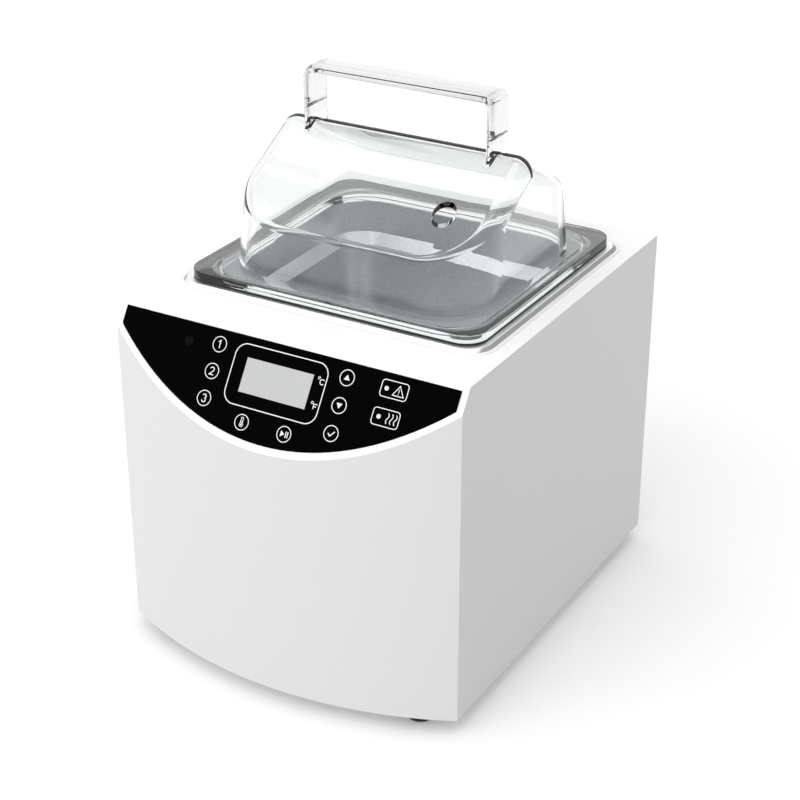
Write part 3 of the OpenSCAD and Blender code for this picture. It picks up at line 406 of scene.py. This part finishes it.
def dome_points(n, inset, foot_z):
    """The point of the dome that lies furthest along each direction, how far, and on which part."""
    sx, sy = np.where(n[:, 0] < 0, -1.0, 1.0), np.where(n[:, 1] < 0, -1.0, 1.0)
    side = np.stack([sx, sy, np.ones(len(n))], axis=-1)
    level = np.hypot(n[:, 0], n[:, 1]) + 1e-12
    r = DOME_R - inset
    foot = np.stack([sx * (DOME_W / 2 - DOME_R) + r * n[:, 0] / level,
                     sy * (DOME_D / 2 - DOME_R) + r * n[:, 1] / level, np.full(len(n), foot_z)], axis=-1)
    which = ((n * side) @ BALLS.T + BALL_R).argmax(1)
    ball = BALLS[which] * side + (BALL_R[which] - inset)[:, None] * n
    abc = np.array([RIDGE_END - inset, RIDGE_R - inset, RIDGE_DROP - inset])
    ridge = (abc ** 2 * n) / np.linalg.norm(abc * n, axis=1)[:, None]
    ridge += np.stack([sx * (DOME_W / 2 - END_IN - RIDGE_END), 0 * sx,
                       np.full(len(n), RIDGE_Z - RIDGE_DROP)], axis=-1)
    choices = np.stack([foot, ball, ridge])
    reach = np.einsum("kni,ni->kn", choices, n)
    best = reach.argmax(0)
    return choices[best, np.arange(len(n))], reach.max(0), best


def dome_solid(inset, foot_z, name):
    pts = dome_points(directions(inset, foot_z), inset, foot_z)[0] + np.array([0, PAN_CY, 0])
    bm = bmesh.new()
    for p in np.unique(pts.round(5), axis=0):
        bm.verts.new(p * MM)
    hull = bmesh.ops.convex_hull(bm, input=bm.verts)
    spare = [v for v in hull["geom_interior"] + hull["geom_unused"] if isinstance(v, bmesh.types.BMVert)]
    bmesh.ops.delete(bm, geom=list(set(spare)), context="VERTS")
    bmesh.ops.dissolve_limit(bm, angle_limit=math.radians(0.05), verts=bm.verts, edges=bm.edges)
    bmesh.ops.recalc_face_normals(bm, faces=bm.faces)
    o = mesh_object(name, [], [], glass_mat)
    bm.to_mesh(o.data)
    bm.free()
    return o


def bar_section(thick, crown, half_w, edge, steps=10, edge_steps=4):
    """Points (across the bar, along y) round its section: the crowned outer face, then two edges."""
    pts = []
    for i in range(steps + 1):
        a = math.pi * i / steps
        pts.append((thick / 2 - crown + crown * math.sin(a), (half_w - 0.02) * math.cos(a)))
    low = -thick / 2
    turns = [math.pi / 2 * i / edge_steps for i in range(edge_steps + 1)]
    for a in turns:
        pts.append((low + edge - edge * math.sin(a), -half_w + edge - edge * math.cos(a)))
    for a in turns:
        pts.append((low + edge - edge * math.cos(a), half_w - edge + edge * math.sin(a)))
    return pts


def handle_sections(steps=8):
    """Cross-sections along the handle's bridge: a strap with its joint, a bend, the grip and back."""
    half = STRAP_W / 2
    x_mid = STRAP_GAP / 2
    low_z = RIDGE_Z - RIDGE_DROP - 1.0
    strap = (STRAP_T, STRAP_CROWN, half, BAR_EDGE)
    grip = (GRIP_T, GRIP_CROWN, half, BAR_EDGE)
    groove = (STRAP_T - 2 * JOINT_DEPTH, STRAP_CROWN, half - JOINT_DEPTH, JOINT_EDGE)
    turn_r = GRIP_R - STRAP_T / 2
    turn_z = GRIP_Z - GRIP_R
    rise = GRIP_Z - GRIP_T / 2 - turn_z
    joint = RIDGE_Z + JOINT_RISE
    # Places along the bridge: x, z, the bar's turn in degrees, and the part of the way from strap to
    # grip, or -1 in the joint's groove
    path = [(-x_mid, z, 180.0, t) for z, t in ((low_z, 0.0), (joint - JOINT_HALF, 0.0), (joint, -1.0),
                                               (joint + JOINT_HALF, 0.0), (turn_z, 0.0))]
    for i in range(1, steps + 1):
        a = 180.0 - 90.0 * i / steps
        path.append((-x_mid + turn_r + turn_r * math.cos(math.radians(a)),
                     turn_z + rise * math.sin(math.radians(a)), a, i / steps))
    path += [(-x, z, 180.0 - a, t) for x, z, a, t in reversed(path)]
    stations = []
    for x, z, a, t in path:
        shape = groove if t < 0 else [s + (g - s) * t for s, g in zip(strap, grip)]
        stations.append((x, z, math.radians(a), bar_section(*shape)))
    return stations


def handle_solid(name):
    verts, faces = [], []
    stations = handle_sections()
    for x, z, a, pts in stations:
        for across, y in pts:
            verts.append(((x + across * math.cos(a)) * MM, (y + PAN_CY) * MM,
                          (z + across * math.sin(a)) * MM))
    count = len(stations[0][3])
    for i in range(len(stations) - 1):
        for k in range(count):
            m = (k + 1) % count
            faces.append((i * count + k, i * count + m, (i + 1) * count + m, (i + 1) * count + k))
    faces.append(tuple(range(count)))
    faces.append(tuple(reversed(range((len(stations) - 1) * count, len(stations) * count))))
    o = mesh_object(name, verts, faces, glass_mat)
    face_outward(o)
    return o


def cylinder(name, x, y, z0, z1, r, steps=96):
    verts = []
    for z in (z0, z1):
        for i in range(steps):
            a = 2 * math.pi * i / steps
            verts.append(((x + r * math.cos(a)) * MM, (y + r * math.sin(a)) * MM, z * MM))
    faces = [(i, (i + 1) % steps, steps + (i + 1) % steps, steps + i) for i in range(steps)]
    faces.append(tuple(reversed(range(steps))))
    faces.append(tuple(range(steps, 2 * steps)))
    return mesh_object(name, verts, faces, glass_mat)


def combine(target, other, operation):
    mod = target.modifiers.new("cut", "BOOLEAN")
    mod.operation = operation
    mod.solver = "EXACT"
    mod.object = other
    deps = bpy.context.evaluated_depsgraph_get()
    me = bpy.data.meshes.new_from_object(target.evaluated_get(deps))
    target.modifiers.clear()
    old = target.data
    target.data = me
    bpy.data.meshes.remove(old)
    bpy.data.objects.remove(other)


def plate_solid():
    """The lid plate with rounded edges and its locating lip."""
    e, steps = LID_EDGE, 5
    low = LID_Z + AIR_GAP
    profile = [(e, low)]
    for i in range(1, steps + 1):
        a = math.pi / 2 * i / steps
        profile.append((e - e * math.sin(a), low + e - e * math.cos(a)))
    for i in range(steps + 1):
        a = math.pi / 2 * i / steps
        profile.append((e - e * math.cos(a), LID_TOP - e + e * math.sin(a)))
    verts, faces = solid_stack(profile, LID_W, LID_D, LID_R)
    plate = mesh_object("lid_clear", verts, faces, glass_mat)
    root, tip, edge = LID_Z + 0.5, LID_Z - LIP_H, LIP_EDGE
    lip = [(0, root), (0, tip + edge), (edge, tip), (LIP_T - edge, tip), (LIP_T, tip + edge), (LIP_T, root)]
    verts, faces = swept_ring(lip, LIP_W, LIP_D, LIP_R)
    ring = mesh_object("lip", verts, faces, glass_mat)
    face_outward(ring)
    combine(plate, ring, "UNION")
    return plate


def true_normals(points, start, inset, foot_z):
    """Outward normals of the curved form at points on it, searched for from a first guess."""
    n = start.copy()
    offsets = [(i, j) for i in range(-2, 3) for j in range(-2, 3)]
    for step in SEARCH_STEPS:
        u = np.cross(n, np.array([0.31, 0.57, -0.76]))
        u /= np.linalg.norm(u, axis=1)[:, None]
        v = np.cross(n, u)
        trial = np.stack([n + step * (i * u + j * v) for i, j in offsets], axis=1)
        trial /= np.linalg.norm(trial, axis=2)[..., None]
        flat = trial.reshape(-1, 3)
        reach = dome_points(flat, inset, foot_z)[1].reshape(len(n), -1)
        gap = reach - np.einsum("kji,ki->kj", trial, points)
        cost = gap + 0.02 * (1 - np.einsum("kji,ki->kj", trial, start))
        best = cost.argmin(1)
        n = trial[np.arange(len(n)), best]
    return n, gap[np.arange(len(n)), best]


def dome_gap(point, n, inset, foot_z):
    """How far a point lies inside the dome's form along a direction."""
    return dome_points(n[None, :], inset, foot_z)[1][0] - point @ n


def dome_normals(o):
    """Gives the dome's faces the normals of the true curved form, and the rest their own."""
    me = o.data
    co = np.zeros(len(me.vertices) * 3)
    me.vertices.foreach_get("co", co)
    co = co.reshape(-1, 3) / MM - np.array([0, PAN_CY, 0])
    normals = np.array([c.vector[:] for c in me.corner_normals])
    for inset, foot_z, sign in ((0.0, OUTER_FOOT, 1.0), (DOME_T, INNER_FOOT, -1.0)):
        grid = directions(inset, foot_z)
        pts, _, part = dome_points(grid, inset, foot_z)
        tree = KDTree(len(pts))
        for i, p in enumerate(pts):
            tree.insert(p, i)
        tree.balance()
        near = {}
        for i, p in enumerate(co):
            found = [k for _, k, _ in tree.find_range(p, SAME_POINT)]
            if found:
                near[i] = np.array(found)
        picks, parts, asks = {}, {}, []
        faces = []
        for poly in me.polygons:
            facing = np.array(poly.normal) * sign
            if facing[2] < -0.02:
                continue
            faces.append((facing, list(poly.loop_indices)))
            for c, v in zip(poly.loop_indices, poly.vertices):
                if v in near:
                    k = near[v][(grid[near[v]] @ facing).argmax()]
                    picks[c], parts[c] = grid[k], part[k]
                elif -0.01 < dome_gap(co[v], facing, inset, foot_z) < NEAR_FORM:
                    asks.append((c, co[v], facing))
        asked = np.array([a[1] for a in asks])
        found, gap = true_normals(asked, np.array([a[2] for a in asks]), inset, foot_z)
        low = asked[:, 2] < foot_z + ABOVE_FOOT
        found[low] = foot_normals(asked[low], inset, foot_z)
        for (c, _, _), n, g, at_foot in zip(asks, found, gap, low):
            if g < ON_FORM:
                picks[c] = n
                if at_foot:
                    parts[c] = FOOT
        # Ruled faces between two parts have the same normal all along each ruling
        ruled = {BALL: [], RIDGE: []}
        for facing, corners in faces:
            kinds = [parts[c] for c in corners if c in parts]
            if kinds and min(kinds) < max(kinds):
                ruled[max(kinds)] += [c for c in corners if c in parts]
        for level, corners in ruled.items():
            n = np.array([picks[c] for c in corners])
            az = np.arctan2(n[:, 1], n[:, 0])
            for c, m in zip(corners, towards(az, part_change(az, level, inset, foot_z)[0])):
                picks[c] = m
        for facing, corners in faces:
            if all(c in picks and picks[c] @ facing > 0.9 for c in corners):
                for c in corners:
                    normals[c] = picks[c] * sign
    me.normals_split_custom_set([tuple(v) for v in normals])


def smooth_by_angle(o, degrees):
    me = o.data
    for p in me.polygons:
        p.use_smooth = True
    bm = bmesh.new()
    bm.from_mesh(me)
    limit = math.radians(degrees)
    for e in bm.edges:
        e.smooth = len(e.link_faces) == 2 and e.calc_face_angle(0) < limit
    bm.to_mesh(me)
    bm.free()


def build_lid():
    lid = plate_solid()
    combine(lid, dome_solid(0.0, OUTER_FOOT, "dome_outer"), "UNION")
    combine(lid, handle_solid("bridge"), "UNION")
    combine(lid, dome_solid(DOME_T, INNER_FOOT, "dome_inner"), "DIFFERENCE")
    vent = cylinder("vent", VENT_X, PAN_CY - VENT_Y, LID_TOP + 5, RIDGE_Z, VENT_R)
    combine(lid, vent, "DIFFERENCE")
    smooth_by_angle(lid, SHARP_FROM)
    dome_normals(lid)
    return lid


lid = build_lid()
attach(lid, "lid")
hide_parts("lid_shell", "lid_handle")


# Printing on the panel

def panel_point(x, v, out):
    """A point of the sloped panel: x right, v down the slope, out away from it."""
    s, c = math.sin(PANEL_ANGLE), math.cos(PANEL_ANGLE)
    return (x * MM, (SIDE_Y + PANEL_RUN - v * c - out * s) * MM, (TOP_Z - v * s + out * c) * MM)


def stroke_faces(points, width, closed):
    """Left and right outlines of a line with mitred joints, in plan."""
    pts = [Vector(p) for p in points]
    n = len(pts)
    left, right = [], []
    for i in range(n):
        before = pts[i - 1] if (closed or i > 0) else None
        after = pts[(i + 1) % n] if (closed or i < n - 1) else None
        d1 = (pts[i] - before).normalized() if before is not None else None
        d2 = (after - pts[i]).normalized() if after is not None else None
        d1 = d1 or d2
        d2 = d2 or d1
        n1 = Vector((-d1.y, d1.x))
        n2 = Vector((-d2.y, d2.x))
        m = n1 + n2
        m = m.normalized() if m.length > 1e-6 else n1
        k = max(0.35, m.dot(n1))
        left.append(pts[i] + m * (width / 2 / k))
        right.append(pts[i] - m * (width / 2 / k))
    return left, right


class Print:
    """Collects flat shapes and lays them on the panel as a thin closed layer."""

    def __init__(self):
        self.verts, self.faces = [], []

    def add(self, top, faces, borders):
        start = len(self.verts)
        k = len(top)
        for out in (0.0, PRINT_T):
            for x, v in top:
                self.verts.append(panel_point(x, v, OVERLAY_T + out))
        for f in faces:
            self.faces.append([start + k + i for i in f])
            self.faces.append([start + i for i in reversed(f)])
        for ring in borders:
            for i in range(len(ring)):
                a, b = ring[i], ring[(i + 1) % len(ring)]
                self.faces.append([start + a, start + b, start + k + b, start + k + a])

    def line(self, points, width, closed=False):
        left, right = stroke_faces(points, width, closed)
        n = len(left)
        top = [tuple(p) for p in left] + [tuple(p) for p in right]
        if closed:
            faces = [(i, (i + 1) % n, n + (i + 1) % n, n + i) for i in range(n)]
            borders = [list(range(n)), [n + i for i in reversed(range(n))]]
        else:
            faces = [(i, i + 1, n + i + 1, n + i) for i in range(n - 1)]
            borders = [list(range(n)) + [n + i for i in reversed(range(n))]]
        self.add(top, faces, borders)

    def fill(self, points):
        self.add([tuple(p) for p in points], [tuple(range(len(points)))], [list(range(len(points)))])

    def build(self, name, body):
        o = mesh_object(name, self.verts, self.faces, ink_mat)
        face_outward(o)
        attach(o, body)


def ring_points(x, v, r, steps=48, start=0.0, sweep=360.0):
    full = abs(sweep) >= 360.0
    count = steps if full else steps + 1
    return [(x + r * math.cos(math.radians(start + sweep * i / steps)),
             v + r * math.sin(math.radians(start + sweep * i / steps))) for i in range(count)]


def box_points(x, v, w, h, r, steps=6):
    pts = []
    for q, (sx, sv) in enumerate([(1, 1), (-1, 1), (-1, -1), (1, -1)]):
        for i in range(steps + 1):
            a = math.radians(90 * q + 90 * i / steps)
            pts.append((x + sx * (w / 2 - r) + r * math.cos(a), v + sv * (h / 2 - r) + r * math.sin(a)))
    return pts


KEYS = {
    "key_1": (-36.0, 10.0), "key_2": (-36.0, 23.4), "key_3": (-36.0, 36.9),
    "key_temperature": (-12.0, 43.2), "key_run": (12.0, 43.2), "key_confirm": (36.0, 36.9),
    "key_up": (36.0, 10.0), "key_down": (36.0, 23.4),
}
RING_R, RING_W = 3.75, 0.42
FRAME_BOX, FRAME_W = (0.0, 21.1, 52.0, 29.6, 6.0), 0.5
LAMP_BOXES = ((61.4, 10.0, 14.0, 8.0, 1.6), (61.0, 23.4, 14.0, 8.0, 1.6))
DEGREE_SIGNS = ((23.3, 14.4), (23.3, 26.4))


def digit(p, which, x, v):
    w = 0.5
    if which == 1:
        p.line([(x - 0.9, v - 1.0), (x + 0.15, v - 1.9), (x + 0.15, v + 1.9)], w)
    elif which == 2:
        top = ring_points(x, v - 0.85, 1.05, 10, 195.0, 195.0)
        p.line(top + [(x - 1.1, v + 1.7), (x + 1.25, v + 1.7)], w)
    else:
        p.line(ring_points(x, v - 0.95, 0.95, 12, 200.0, 240.0), w)
        p.line(ring_points(x, v + 0.85, 1.05, 12, -85.0, 250.0), w)


for name, (x, v) in KEYS.items():
    p = Print()
    p.line(ring_points(x, v, RING_R, 64), RING_W, closed=True)
    if name in ("key_1", "key_2", "key_3"):
        digit(p, int(name[-1]), x, v)
    elif name == "key_temperature":
        p.line(ring_points(x, v + 1.15, 0.95, 24, -55.0, 290.0) + [(x - 0.55, v - 1.9)]
               + ring_points(x, v - 1.9, 0.55, 8, 180.0, 180.0), 0.32, closed=True)
        p.fill(ring_points(x, v + 1.15, 0.5, 16))
        p.line([(x, v + 0.9), (x, v - 0.9)], 0.3)
    elif name == "key_run":
        p.fill([(x - 1.9, v - 1.5), (x + 0.2, v), (x - 1.9, v + 1.5)])
        for dx in (0.75, 1.75):
            p.fill([(x + dx, v - 1.5), (x + dx + 0.5, v - 1.5), (x + dx + 0.5, v + 1.5), (x + dx, v + 1.5)])
    elif name == "key_confirm":
        p.line([(x - 1.6, v + 0.1), (x - 0.4, v + 1.3), (x + 1.8, v - 1.2)], 0.55)
    elif name == "key_up":
        p.fill([(x, v - 1.5), (x + 1.6, v + 1.1), (x - 1.6, v + 1.1)])
    else:
        p.fill([(x - 1.6, v - 1.1), (x + 1.6, v - 1.1), (x, v + 1.5)])
    p.build("print_" + name, name + "_cap")

p = Print()
p.line(box_points(*FRAME_BOX, steps=10), FRAME_W, closed=True)
for box in LAMP_BOXES:
    p.line(box_points(*box), RING_W, closed=True)
# A triangle with an upright mark by the first lamp, and three waves by the second
p.line([(63.9, 7.6), (66.8, 12.4), (61.0, 12.4)], 0.4, closed=True)
p.line([(63.9, 9.2), (63.9, 10.9)], 0.4)
p.fill(ring_points(63.9, 11.6, 0.24, 10))
for x in (62.0, 64.1, 66.2):
    wave = [(x + 0.55 * math.sin(2 * math.pi * i / 12), 20.9 + 5.0 * i / 12) for i in range(13)]
    p.line(wave, RING_W)
# Degree signs beside the display, each with its letter
for x, v in DEGREE_SIGNS:
    p.line(ring_points(x - 1.4, v - 1.1, 0.55, 16), 0.3, closed=True)
p.line(ring_points(24.0, 15.0, 1.25, 14, 45.0, 270.0), RING_W)
p.line([(23.0, 28.2), (23.0, 25.8), (24.9, 25.8)], RING_W)
p.line([(23.0, 27.0), (24.5, 27.0)], RING_W)
p.build("panel_print", "housing")


# Floor, lamps and camera

# Ambient light for matt surfaces: its strength, and how much it changes towards the front and left
AMBIENT, AMBIENT_FRONT, AMBIENT_LEFT = 0.98, 0.5, 0.14
# The room in reflections: brighter above, darker straight in front, with where each change runs
ROOM_TOP, ROOM_TOP_FROM, ROOM_TOP_TO = 1.25, 0.25, 0.75
ROOM_FRONT, ROOM_FRONT_FROM, ROOM_FRONT_TO = 0.08, -0.93, -0.75
# The floor's colour as it is seen and as it lights the part, and the light of its own per kind of ray
FLOOR_SIZE = 6.0
FLOOR_PALE, FLOOR_BOUNCE = 0.85, 0.2
FLOOR_LIFT, FLOOR_SHINE, FLOOR_THROUGH = 0.1, 0.25, 0.0

WHITE = (1, 1, 1, 1)
AIM = (0, 0, 0.12)
# Place, size and power of each lamp
LAMPS = {"key": ((-0.52, -1.8, 1.98), (1.6, 1.2), 10.0), "top": ((0.1, 0.2, 2.6), (1.4, 1.4), 8.0)}
CAMERA_PLACE, CAMERA_DOWN, CAMERA_TURN = (0.44823, -0.75507, 0.56483), 27.0889, 30.3177
LENS, SENSOR = 83.96, 36.0


def weighted_sum(m, parts, start=0.0):
    """A start value plus some sockets, each times its gain."""
    total = None
    for source, gain in parts:
        total = math_node(m, "MULTIPLY_ADD", source, gain, start if total is None else total)
    return total


def floor():
    size = FLOOR_SIZE
    m = bpy.data.materials.new("floor")
    m.use_nodes = True
    m.node_tree.nodes.clear()
    o = mesh_object("floor", [(-size, -size, 0), (size, -size, 0), (size, size, 0), (-size, size, 0)],
                    [(0, 1, 2, 3)], m)
    ray = add_node(m, "LightPath").outputs
    seen = weighted_sum(m, [(ray["Is Camera Ray"], 1.0), (ray["Is Glossy Ray"], 1.0),
                            (ray["Is Transmission Ray"], 1.0)])
    raised = weighted_sum(m, [(ray["Is Camera Ray"], FLOOR_LIFT), (ray["Is Glossy Ray"], FLOOR_SHINE),
                              (ray["Is Transmission Ray"], FLOOR_THROUGH)])
    shade = color_mix(m, seen, (FLOOR_BOUNCE,) * 3, (FLOOR_PALE,) * 3)
    diffuse = add_node(m, "BsdfDiffuse", {"Color": shade})
    lift = add_node(m, "Emission", {"Color": WHITE, "Strength": raised})
    shown = add_node(m, "AddShader", {0: diffuse.outputs[0], 1: lift.outputs[0]})
    add_node(m, "OutputMaterial", {"Surface": shown.outputs[0]})


def world():
    w = bpy.data.worlds.new("studio")
    bpy.context.scene.world = w
    w.use_nodes = True
    w.node_tree.nodes.clear()

    def background(strength):
        return add_node(w, "Background", {"Color": WHITE, "Strength": strength}).outputs[0]

    def pick(source, without, with_it):
        return add_node(w, "MixShader", {0: source, 1: without, 2: with_it}).outputs[0]

    ray = add_node(w, "LightPath").outputs
    way = add_node(w, "SeparateXYZ", {0: add_node(w, "TexCoord").outputs["Generated"]}).outputs
    room = math_node(w, "MULTIPLY", ramp(w, way["Z"], 1.0, ROOM_TOP, ROOM_TOP_FROM, ROOM_TOP_TO),
                     ramp(w, way["Y"], ROOM_FRONT, 1.0, ROOM_FRONT_FROM, ROOM_FRONT_TO))
    even = weighted_sum(w, [(way["Y"], -AMBIENT * AMBIENT_FRONT), (way["X"], -AMBIENT * AMBIENT_LEFT)],
                        AMBIENT)
    mirrored = math_node(w, "MAXIMUM", ray["Is Glossy Ray"], ray["Is Transmission Ray"])
    lit = pick(mirrored, background(even), background(room))
    seen = pick(ray["Is Camera Ray"], lit, background(1.0))
    add_node(w, "OutputWorld", {"Surface": seen})


def softbox(name, place, size, power):
    light = bpy.data.lights.new(name, "AREA")
    light.shape = "RECTANGLE"
    light.size, light.size_y = size
    light.energy = power
    o = bpy.data.objects.new(name, light)
    bpy.context.scene.collection.objects.link(o)
    o.location = place
    o.rotation_euler = (Vector(AIM) - Vector(place)).to_track_quat("-Z", "Y").to_euler()


def camera():
    data = bpy.data.cameras.new("camera")
    data.lens = LENS
    data.sensor_width = SENSOR
    o = bpy.data.objects.new("camera", data)
    bpy.context.scene.collection.objects.link(o)
    o.location = CAMERA_PLACE
    o.rotation_euler = (math.radians(90.0 - CAMERA_DOWN), 0.0, math.radians(CAMERA_TURN))
    bpy.context.scene.camera = o


floor()
world()
for name, lamp in LAMPS.items():
    softbox(name, *lamp)
camera()
bpy.context.scene.view_settings.view_transform = "Standard"
